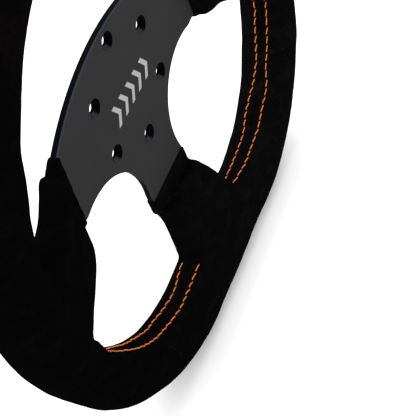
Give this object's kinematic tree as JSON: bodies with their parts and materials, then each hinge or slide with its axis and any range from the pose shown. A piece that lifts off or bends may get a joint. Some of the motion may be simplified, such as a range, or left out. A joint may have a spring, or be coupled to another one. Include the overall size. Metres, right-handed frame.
{
  "type": "steering wheel",
  "caption": "Flat-bottomed three-spoke competition steering wheel: black suede over a foam-covered rim, drilled aluminium centre plate that takes a quick release hub.",
  "frame": {"origin": "centre of the circle of hub holes, on the centre plate's rear face, which the hub is screwed against", "axes": "+X is the driver's right, +Z is the top of the wheel, +Y runs forward along the steering column, away from the driver"},
  "size_m": [0.333, 0.0386, 0.3125],
  "materials": {
    "black_plate": "satin",
    "bare_aluminium": "satin",
    "foam": "matte",
    "suede": "matte",
    "thread": "matte"
  },
  "bodies": {
    "root": {"centre_plate": "black_plate", "rim_tube": "bare_aluminium", "spoke_lug_left": "bare_aluminium", "spoke_lug_right": "bare_aluminium", "spoke_lug_bottom": "bare_aluminium", "rivets_left": "bare_aluminium", "rivets_right": "bare_aluminium", "rivets_bottom": "bare_aluminium", "rim_foam_top": "foam", "rim_foam_lower_left": "foam", "rim_foam_lower_right": "foam", "spoke_foam_left": "foam", "spoke_foam_right": "foam", "spoke_foam_bottom": "foam", "rim_suede_top": "suede", "rim_suede_lower_left": "suede", "rim_suede_lower_right": "suede", "spoke_suede_left": "suede", "spoke_suede_right": "suede", "spoke_suede_bottom": "suede", "thread_top_front": "thread", "thread_top_rear": "thread", "thread_lower_left_front": "thread", "thread_lower_left_rear": "thread", "thread_lower_right_front": "thread", "thread_lower_right_rear": "thread"}
  },
  "joints": []
}
